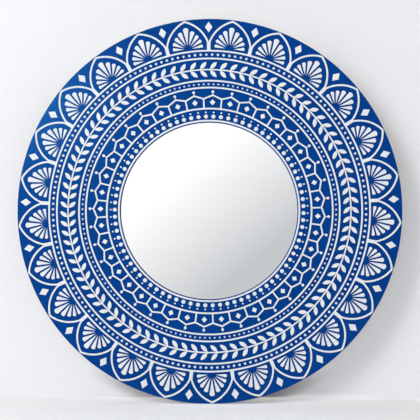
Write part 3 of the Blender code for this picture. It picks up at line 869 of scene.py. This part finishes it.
def draw_vine(mesh, sizes):
    """One pair of leaves with its length of stem."""
    pitch = FULL_TURN / sizes.leaf_pairs
    sides = []
    for outward in (1, -1):
        edge = sizes.vine_radius + outward * sizes.stem / 2
        ahead = (math.sin(sizes.leaf_lean), outward * math.cos(sizes.leaf_lean))
        aside = (ahead[1] * outward * sizes.leaf_neck / 2, -ahead[0] * outward * sizes.leaf_neck / 2)
        stalk = (ahead[0] * sizes.leaf_stalk, edge + ahead[1] * sizes.leaf_stalk)
        sides.append((
            on_ray(edge, -sizes.leaf_neck / 2 / edge),
            (stalk[0] - aside[0], stalk[1] - aside[1]),
            (ahead[0] * sizes.leaf, edge + ahead[1] * sizes.leaf),
            (stalk[0] + aside[0], stalk[1] + aside[1]),
            on_ray(edge, sizes.leaf_neck / 2 / edge)))
    outer, inner = sides
    begin = -pitch * sizes.vine_lead
    end = pitch + begin
    edges = (sizes.vine_radius + sizes.stem / 2, sizes.vine_radius - sizes.stem / 2)
    turn_down = on_ray(edges[1], end)
    bow = sizes.leaf_bow
    trace(mesh, on_ray(edges[0], begin), [
        outer[0],
        outer[1],
        bow_to(outer[1], outer[2], bow, LEAF_STEPS),
        bow_to(outer[2], outer[3], bow, LEAF_STEPS),
        outer[4],
        arc_to(outer[4], on_ray(edges[0], end), CENTRE, STEM_STEPS),
        turn_down,
        arc_to(turn_down, inner[4], CENTRE, STEM_STEPS),
        inner[3],
        bow_to(inner[3], inner[2], bow, LEAF_STEPS),
        bow_to(inner[2], inner[1], bow, LEAF_STEPS),
        inner[0],
        on_ray(edges[1], begin),
    ])


def meeting(point_a, slope_a, point_b, slope_b):
    """Where two lines meet, each given by a point and a direction."""
    across = slope_a[0] * slope_b[1] - slope_a[1] * slope_b[0]
    du = point_b[0] - point_a[0]
    dv = point_b[1] - point_a[1]
    along = (du * slope_b[1] - dv * slope_b[0]) / across
    return (point_a[0] + along * slope_a[0], point_a[1] + along * slope_a[1])


def draw_half_pentagon(mesh, sizes):
    """Half of one house-shaped cell: its share of the ring, a half wall, half a roof and half a finial."""
    half = math.pi / sizes.pentagons
    along = (math.sin(half), math.cos(half))
    reach = sizes.pentagon_line / 2
    eaves = sizes.pentagon_radius + sizes.eaves
    ridge = eaves + sizes.roof
    corner = on_ray(eaves, half)
    pitch = math.atan2(ridge - corner[1], corner[0])
    slope = (-math.cos(pitch), math.sin(pitch))
    upper = (corner[0] + math.sin(pitch) * reach, corner[1] + math.cos(pitch) * reach)
    lower = (corner[0] - math.sin(pitch) * reach, corner[1] - math.cos(pitch) * reach)
    wall = (-math.cos(half) * reach, math.sin(half) * reach)

    inner = sizes.pentagon_radius - sizes.line / 2
    outer = sizes.pentagon_radius + sizes.line / 2
    start = (0.0, inner)
    neck = sizes.finial_neck / 2
    finial = (0.0, ridge + sizes.finial_rise)
    under = (neck, finial[1] - math.sqrt(sizes.finial ** 2 - neck ** 2))
    crown = (0.0, finial[1] + sizes.finial)
    foot = on_ray(outer, half - math.asin(reach / outer))
    sill = (0.0, outer)
    trace(mesh, start, [
        arc_to(start, on_ray(inner, half), CENTRE, CELL_STEPS),
        meeting(upper, slope, CENTRE, along),
        meeting(upper, slope, (neck, 0.0), (0.0, 1.0)),
        under,
        arc_to(under, crown, finial, FINIAL_STEPS),
        meeting(lower, slope, CENTRE, (0.0, 1.0)),
        meeting(lower, slope, wall, along),
        foot,
        arc_to(foot, sill, CENTRE, CELL_STEPS),
    ])


def draw_bead(mesh, sizes):
    """A flat bead and the small drop outside it."""
    for radius, size, steps in (
            (sizes.bead_radius, sizes.bead, BEAD_STEPS), (sizes.drop_radius, sizes.drop, DROP_STEPS)):
        place = Matrix.Translation(in_space((0.0, radius))) @ STAND_UP
        bmesh.ops.create_circle(mesh, cap_ends=True, segments=steps, radius=size, matrix=place)


def draw_dot(mesh, radius, size):
    """A domed dot, cut off just under the blue face."""
    bmesh.ops.create_uvsphere(mesh, u_segments=10, v_segments=6, radius=size)
    bmesh.ops.scale(mesh, vec=(1.0, RELIEF / size, 1.0), verts=mesh.verts)
    move_to(mesh, (0.0, radius), BED)
    cut = bmesh.ops.bisect_plane(
        mesh, geom=everything(mesh), dist=WELD, plane_co=(0.0, BED, 0.0), plane_no=AXIS, clear_outer=True)
    bmesh.ops.contextual_create(mesh, geom=of_kind(cut["geom_cut"], BMEdge))


# Operators for the front

class MIRROR_OT_facing(bpy.types.Operator):
    """Blue lacquered facing round the mirror"""

    bl_idname = "mirror.facing"
    bl_label = "Blue Facing"

    def execute(self, context):
        opening = context.scene.mirror_body.opening
        put_ring(
            "blue_facing_lacquered", "lacquer", "blue_facing", opening, FACE, BOARD_FRONT)
        return {"FINISHED"}


class MIRROR_OT_board(bpy.types.Operator):
    """Round fibre board with painted edges"""

    bl_idname = "mirror.board"
    bl_label = "Board"

    def execute(self, context):
        rebate = context.scene.mirror_body.rebate
        put_ring(
            "fibre_board_ring", "fibre", "frame_board", rebate, BOARD_FRONT, BOARD_BACK)
        return {"FINISHED"}


class MIRROR_OT_glass(bpy.types.Operator):
    """Silvered glass and the panel behind it"""

    bl_idname = "mirror.glass"
    bl_label = "Glass and Back Panel"

    def execute(self, context):
        edge = context.scene.mirror_body.panel_edge
        for name, node, front, back, finish, slot in (
                ("silvered_disc", "mirror_glass", GLASS_FRONT, GLASS_BACK, "silver", "silvered_glass"),
                ("hardboard_disc", "backing_panel", PANEL_FRONT, BOARD_BACK, "hardboard", "back_panel")):
            mesh = bmesh.new()
            profile = [(0.0, front), (GLASS_RADIUS, front), (GLASS_RADIUS, back), (0.0, back)]
            spin_profile(mesh, profile, DISC_STEPS)
            round_edges(mesh, edge)
            put_piece(name, mesh, [finish], [node], smooth=True)
        return {"FINISHED"}


class MIRROR_OT_petals(bpy.types.Operator):
    """Pointed arches with their fans and the diamonds between them"""

    bl_idname = "mirror.petals"
    bl_label = "Petals"

    def execute(self, context):
        sizes = context.scene.mirror_ornament
        arch = Arch(sizes)
        row = (sizes.petals, sizes.petal_phase, sizes.petal_stray)
        mesh = bmesh.new()
        draw_half_arch(mesh, arch)
        mirror_half(mesh)
        put_row("petal_arches", mesh, row, ["petal_fret"], joined=True)

        mesh = bmesh.new()
        draw_fan(mesh, arch)
        put_row("petal_fans", mesh, row)

        mesh = bmesh.new()
        draw_diamond(mesh, sizes.diamond_radius, sizes.diamond_width, sizes.diamond_height)
        between = (sizes.petals, sizes.petal_phase - arch.half, sizes.petal_stray)
        nodes = [f"rim_diamond_{n:02d}" for n in range(1, sizes.petals + 1)]
        put_row("rim_diamonds", mesh, between, nodes)
        return {"FINISHED"}


class MIRROR_OT_lines(bpy.types.Operator):
    """White line rings and the two rows of dots"""

    bl_idname = "mirror.lines"
    bl_label = "Lines and Dots"

    def execute(self, context):
        sizes = context.scene.mirror_ornament
        for name, radius in (
                ("outer_dot_line", sizes.outer_line), ("inner_dot_line_a", sizes.inner_line_a),
                ("inner_dot_line_b", sizes.inner_line_b), ("mirror_line", sizes.mirror_line)):
            near = radius - sizes.line / 2
            far = radius + sizes.line / 2
            mesh = bmesh.new()
            profile = [(near, FRET_FRONT), (far, FRET_FRONT), (far, BED), (near, BED)]
            spin_profile(mesh, profile, LINE_STEPS, closed=True)
            round_edges(mesh, sizes.edge, segments=2)
            put_ornament(f"{name}_ring", mesh, [name], smooth=True)
        for row in ("outer_dot", "inner_dot"):
            mesh = bmesh.new()
            draw_dot(mesh, getattr(sizes, f"{row}_radius"), getattr(sizes, row))
            repeat_round(mesh, *(getattr(sizes, row + part) for part in ("s", "_phase", "_stray")))
            put_ornament(f"{row}s", mesh, smooth=True)
        return {"FINISHED"}


class MIRROR_OT_vine(bpy.types.Operator):
    """Vine of paired leaves"""

    bl_idname = "mirror.vine"
    bl_label = "Vine"

    def execute(self, context):
        sizes = context.scene.mirror_ornament
        mesh = bmesh.new()
        draw_vine(mesh, sizes)
        row = (sizes.leaf_pairs, sizes.vine_phase, sizes.vine_stray)
        put_row("vine_of_leaves", mesh, row, ["leaf_vine"], joined=True)
        return {"FINISHED"}


class MIRROR_OT_pentagons(bpy.types.Operator):
    """House-shaped cells with finials and a diamond in each"""

    bl_idname = "mirror.pentagons"
    bl_label = "Pentagons"

    def execute(self, context):
        sizes = context.scene.mirror_ornament
        row = (sizes.pentagons, sizes.pentagon_phase, sizes.pentagon_stray)
        mesh = bmesh.new()
        draw_half_pentagon(mesh, sizes)
        mirror_half(mesh)
        put_row("pentagon_cells", mesh, row, ["pentagon_fret"], joined=True)

        mesh = bmesh.new()
        draw_diamond(mesh, sizes.lozenge_radius, sizes.lozenge_width, sizes.lozenge_height)
        put_row("pentagon_diamonds", mesh, row)
        return {"FINISHED"}


class MIRROR_OT_beads(bpy.types.Operator):
    """Bead drops round the mirror"""

    bl_idname = "mirror.beads"
    bl_label = "Beads"

    def execute(self, context):
        sizes = context.scene.mirror_ornament
        mesh = bmesh.new()
        draw_bead(mesh, sizes)
        put_row("bead_drops", mesh, (sizes.beads, sizes.bead_phase, sizes.bead_stray))
        return {"FINISHED"}


# Operators for the back

def middle_of(node):
    low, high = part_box(node)
    return ((low[0] + high[0]) / 2, (low[2] + high[2]) / 2)


def sink_cross(mesh, sizes, top):
    """Sinks a cross recess into the open top of a screw's head, and closes the top round it."""
    reach = sizes.recess
    side = sizes.recess_width / 2
    outline = [(-side, reach), (side, reach), (side, side)]
    for _ in range(3):
        outline += [(along, -across) for across, along in outline[-3:]]
    face = trace(mesh, outline[0], outline[1:], top)
    made = bmesh.ops.extrude_face_region(mesh, geom=[face])
    sunk = of_kind(made["geom"], BMVert)
    bmesh.ops.translate(mesh, verts=sunk, vec=(0.0, -sizes.recess_depth, 0.0))
    bmesh.ops.scale(mesh, verts=sunk, vec=(sizes.recess_taper, 1.0, sizes.recess_taper))
    bmesh.ops.delete(mesh, geom=[face], context="FACES_ONLY")
    rims = [line for line in mesh.edges if line.is_boundary]
    bmesh.ops.triangle_fill(mesh, edges=rims, use_beauty=True, normal=AXIS)


def put_screw(name, spot, seat):
    """A pan-head screw with a cross recess, whose head stands on a seat."""
    sizes = bpy.context.scene.mirror_body
    under = seat + SEAT
    top = under + sizes.head_height
    mesh = bmesh.new()
    spin_profile(mesh, [
        (sizes.head * sizes.head_flat, top),
        (sizes.head * sizes.head_shoulder, top - sizes.shoulder_drop),
        (sizes.head, top - sizes.head_drop),
        (sizes.head, under),
        (0.0, under),
    ], SCREW_STEPS)
    sink_cross(mesh, sizes, top)
    turn_by(mesh, clock(spot, CENTRE))
    move_to(mesh, spot)
    put_piece(f"{name}_head", mesh, ["zinc"], [name], smooth=True)


class MIRROR_OT_turn_buttons(bpy.types.Operator):
    """Turn buttons that hold the back panel, with their screws"""

    bl_idname = "mirror.turn_buttons"
    bl_label = "Turn Buttons"

    def execute(self, context):
        sizes = context.scene.mirror_body
        end = sizes.button_width / 2
        tip = end - sizes.button_reach
        seat = BOARD_BACK + SEAT + sizes.button_thickness
        for joint in frame["joints"]:
            if not joint["name"].startswith("turn_button"):
                continue
            name = joint["name"].removesuffix("_pivot")
            pivot = (joint["pos_m"][0], joint["pos_m"][2])
            mesh = bmesh.new()
            round_end = (CENTRE, math.pi, END_STEPS)
            trace(mesh, (-end, 0.0), [round_end, (end, tip), ((0.0, tip), math.pi, END_STEPS)], seat)
            raise_relief(mesh, sizes.button_thickness, sizes.button_edge)
            turn_by(mesh, clock(pivot, CENTRE))
            move_to(mesh, pivot)
            put_piece(f"{name}_plate", mesh, ["zinc"], [name], f"{name}_body")
            put_screw(name.replace("button_", "button_screw_"), pivot, seat)
        return {"FINISHED"}


class MIRROR_OT_hangers(bpy.types.Operator):
    """Hanger straps with their rings and screws"""

    bl_idname = "mirror.hangers"
    bl_label = "Hangers"

    def draw_strap(self, mesh, sizes):
        """Side of a strap, curled round the bar, drawn with its height to the right and then stood up."""
        inner = sizes.wire + SEAT
        outer = inner + sizes.strap_thickness
        bar = (SEAT + outer, 0.0)
        low = SEAT + sizes.strap_thickness
        end = sizes.strap_curl - QUARTER
        curl = (bar[0] + inner * math.sin(end), inner * math.cos(end))
        trace(mesh, (SEAT, -sizes.strap_length), [
            (SEAT, 0.0),
            (bar, sizes.strap_curl, CURL_STEPS),
            curl,
            (bar, -sizes.strap_curl, CURL_STEPS),
            (low, -sizes.strap_length),
        ], sizes.strap_width / 2)
        raise_relief(mesh, sizes.strap_width, sizes.strap_edge)
        bmesh.ops.rotate(mesh, cent=ORIGIN, matrix=Matrix.Rotation(QUARTER, 3, "Z"), verts=mesh.verts)

    def draw_ring(self, mesh, sizes):
        """A D of round wire, swept from its bar round its corners and its round end."""
        half = sizes.ring_half
        corner = sizes.ring_corner
        bar_end = half - corner
        stand = Matrix.Translation((-bar_end, 0.0, 0.0)) @ Matrix.Rotation(QUARTER, 4, "Y")
        bmesh.ops.create_circle(mesh, cap_ends=False, segments=WIRE_STEPS, radius=sizes.wire, matrix=stand)
        loop = mesh.edges[:]
        for move, middle, swing in (
                ((2 * bar_end, 0.0), (bar_end, -corner), QUARTER),
                ((0.0, corner - sizes.ring_straight), (0.0, -sizes.ring_straight), math.pi),
                ((0.0, sizes.ring_straight - corner), (-bar_end, -corner), QUARTER)):
            made = bmesh.ops.extrude_edge_only(mesh, edges=loop)["geom"]
            verts = of_kind(made, BMVert)
            bmesh.ops.translate(mesh, vec=in_space(move, 0.0), verts=verts)
            loop = [line for line in of_kind(made, BMEdge) if set(verts).issuperset(line.verts)]
            made = bmesh.ops.spin(
                mesh, geom=verts + loop, cent=in_space(middle, 0.0), axis=AXIS, angle=swing,
                steps=round(swing * BEND_STEPS))["geom_last"]
            loop = of_kind(made, BMEdge)
        bmesh.ops.remove_doubles(mesh, verts=mesh.verts, dist=RING_WELD)

    def execute(self, context):
        sizes = context.scene.mirror_body
        for joint in frame["joints"]:
            if not joint["name"].startswith("hanger_ring"):
                continue
            side = joint["name"].split("_")[2]
            bar = Vector(joint["pos_m"])
            mesh = bmesh.new()
            self.draw_strap(mesh, sizes)
            move_to(mesh, (bar.x, bar.z), BOARD_BACK)
            put_piece(f"strap_{side}", mesh, ["zinc"], [f"hanger_strap_{side}"])

            mesh = bmesh.new()
            self.draw_ring(mesh, sizes)
            bmesh.ops.translate(mesh, vec=bar, verts=mesh.verts)
            ring = f"hanger_ring_{side}"
            put_piece(f"{ring}_wire", mesh, ["zinc"], [ring], f"{ring}_body", smooth=True)

            for place in (1, 2):
                screw = f"hanger_screw_{side}_{place}"
                put_screw(screw, middle_of(screw), BOARD_BACK + SEAT + sizes.strap_thickness)
        return {"FINISHED"}


class MIRROR_OT_bumpers(bpy.types.Operator):
    """Rubber bumpers that keep the board off the wall"""

    bl_idname = "mirror.bumpers"
    bl_label = "Wall Bumpers"

    def execute(self, context):
        sizes = context.scene.mirror_body
        for place in range(1, sizes.bumpers + 1):
            node = f"wall_bumper_{place}"
            low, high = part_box(node)
            mesh = bmesh.new()
            narrow = sizes.bumper - sizes.bumper_taper
            profile = [(0.0, high[1]), (narrow, high[1]), (sizes.bumper, low[1]), (0.0, low[1])]
            spin_profile(mesh, profile, BUMPER_STEPS)
            round_edges(mesh, sizes.bumper_edge)
            move_to(mesh, middle_of(node))
            put_piece(f"{node}_rubber", mesh, ["rubber"], [node], smooth=True)
        return {"FINISHED"}


# Stage

SENSOR_WIDTH = 36.0
LAMP_PLACES = {
    "key": (-2.6, -3.0, 3.0),
    "side": (-3.2, -3.0, 2.0),
    "sheen": (-0.98, -3.0, 0.62),
    "fill": (0.0, -2.6, 0.1),
    "back": (1.0, 2.8, 0.2),
}
# What gloss shows of the room: its bright share grows upwards and to the left, and again over the floor
ROOM_RISE = 6.39
ROOM_SIDE = 5.2
ROOM_LEVEL = 0.41
FLOOR_START = -0.08
FLOOR_RISE = 14.0
ROOM_DIM = (0.585, 0.6, 0.62)
ROOM_BRIGHT = (1.05, 1.05, 1.05)


class MIRROR_OT_stage(bpy.types.Operator):
    """Floor, wall, lights and the camera"""

    bl_idname = "mirror.stage"
    bl_label = "Stage"

    def put_backdrop(self, settings):
        for name, matrix in (
                ("floor", Matrix.Translation((0.0, 0.0, -RIM_RADIUS))),
                ("wall", Matrix.Translation((0.0, settings.wall_gap, 0.0)) @ STAND_UP)):
            mesh = bmesh.new()
            bmesh.ops.create_grid(mesh, x_segments=1, y_segments=1, size=settings.sheet_half, matrix=matrix)
            sheet = put_mesh(f"pale_{name}", mesh, [backdrop_finish(name)])
            sheet.visible_glossy = False

    def leave_out_stage(self):
        """A collection that lets the lamp behind the wall shine as if the stage weren't there."""
        left_out = bpy.data.collections.new("not_the_stage")
        for name in ("floor", "wall"):
            left_out.objects.link(bpy.data.objects[f"pale_{name}"])
        for member in left_out.collection_objects:
            member.light_linking.link_state = "EXCLUDE"
        return left_out

    def put_lights(self, settings):
        """Lamps at the left, in front and behind. Only gloss shows the sheen, and none the last two."""
        for name, place in LAMP_PLACES.items():
            light = bpy.data.lights.new(f"{name}_light", "AREA")
            light.energy = getattr(settings, f"{name}_power")
            light.size = getattr(settings, f"{name}_size")
            lamp = put_object(f"{name}_light", light)
            lamp.location = place
            lamp.rotation_euler = (-lamp.location).to_track_quat("-Z", "Y").to_euler()
            lamp.visible_diffuse = name != "sheen"
            lamp.visible_glossy = name not in ("fill", "back")
            if name == "back":
                lamp.light_linking.receiver_collection = self.leave_out_stage()
                lamp.light_linking.blocker_collection = lamp.light_linking.receiver_collection
                lamp.data.cycles.max_bounces = 0

    def set_world(self, settings):
        """Even daylight. Gloss shows a room that is brighter at the upper left, and a pale floor."""
        world = bpy.data.worlds.new("studio")
        bpy.context.scene.world = world
        world.use_nodes = True
        tree = world.node_tree
        start = Socket(tree, None)
        way = start.node("ShaderNodeTexCoord", output="Generated")
        side, rise = (start.node("ShaderNodeSeparateXYZ", None, {0: way}, axis) for axis in "XZ")
        room = rise * ROOM_RISE - side * ROOM_SIDE + ROOM_LEVEL
        share = room.math("MAXIMUM", room, (FLOOR_START - rise) * FLOOR_RISE)
        shown = start.ramp(share, [(0.0, ROOM_DIM), (1.0, ROOM_BRIGHT)])
        glossy, camera = (
            start.node("ShaderNodeLightPath", output=f"Is {kind} Ray") for kind in ("Glossy", "Camera"))
        plain = (settings.daylight,) * 3 + (1.0,)
        lit = start.node("ShaderNodeMix", {"data_type": "RGBA"}, {0: glossy, 6: plain, 7: shown}, 2)
        pale = (*settings.space, 1.0)
        seen = start.node("ShaderNodeMix", {"data_type": "RGBA"}, {0: camera, 6: lit, 7: pale}, 2)
        tree.links.new(seen.socket, tree.nodes["Background"].inputs["Color"])

    def put_camera(self, settings):
        data = bpy.data.cameras.new("photo_camera")
        data.lens = settings.lens
        data.sensor_width = SENSOR_WIDTH
        data.shift_x = settings.shift_right
        data.shift_y = settings.shift_up
        camera = put_object("photo_camera", data)
        aim = Vector((0.0, FACE, 0.0))
        level = math.cos(settings.elevation)
        away = Vector((
            math.sin(settings.azimuth) * level,
            -math.cos(settings.azimuth) * level,
            math.sin(settings.elevation)))
        camera.location = aim + away * settings.distance
        camera.rotation_euler = (-away).to_track_quat("-Z", "Y").to_euler()
        bpy.context.scene.camera = camera

    def execute(self, context):
        settings = context.scene.mirror_stage
        self.put_backdrop(settings)
        self.put_lights(settings)
        self.set_world(settings)
        self.put_camera(settings)
        context.scene.view_settings.view_transform = "Standard"
        return {"FINISHED"}


# Panel and registration

GROUPS = {
    "mirror_ornament": OrnamentSizes,
    "mirror_body": BodySizes,
    "mirror_finishes": Finishes,
    "mirror_stage": StageSettings,
}
OPERATORS = (
    MIRROR_OT_board, MIRROR_OT_facing, MIRROR_OT_glass, MIRROR_OT_petals, MIRROR_OT_lines, MIRROR_OT_vine,
    MIRROR_OT_pentagons, MIRROR_OT_beads, MIRROR_OT_turn_buttons, MIRROR_OT_hangers, MIRROR_OT_bumpers,
    MIRROR_OT_stage,
)


class MIRROR_PT_panel(bpy.types.Panel):
    """Lists the mirror's operators and settings"""

    bl_label = "Mandala Mirror"
    bl_idname = "MIRROR_PT_panel"
    bl_space_type = "VIEW_3D"
    bl_region_type = "UI"
    bl_category = "Mirror"

    def draw(self, context):
        for operator in OPERATORS:
            self.layout.operator(operator.bl_idname)
        for group in GROUPS:
            settings = getattr(context.scene, group)
            box = self.layout.box()
            for name in settings.bl_rna.properties.keys():
                if name not in ("rna_type", "name"):
                    box.prop(settings, name)


def register():
    for group, kind in GROUPS.items():
        bpy.utils.register_class(kind)
        setattr(bpy.types.Scene, group, PointerProperty(type=kind))
    for kind in (*OPERATORS, MIRROR_PT_panel):
        bpy.utils.register_class(kind)


def unregister():
    for kind in (MIRROR_PT_panel, *reversed(OPERATORS)):
        bpy.utils.unregister_class(kind)
    for group, kind in reversed(GROUPS.items()):
        delattr(bpy.types.Scene, group)
        bpy.utils.unregister_class(kind)


def main():
    register()
    for operator in OPERATORS:
        group, name = operator.bl_idname.split(".")
        getattr(getattr(bpy.ops, group), name)()


if __name__ == "__main__":
    main()
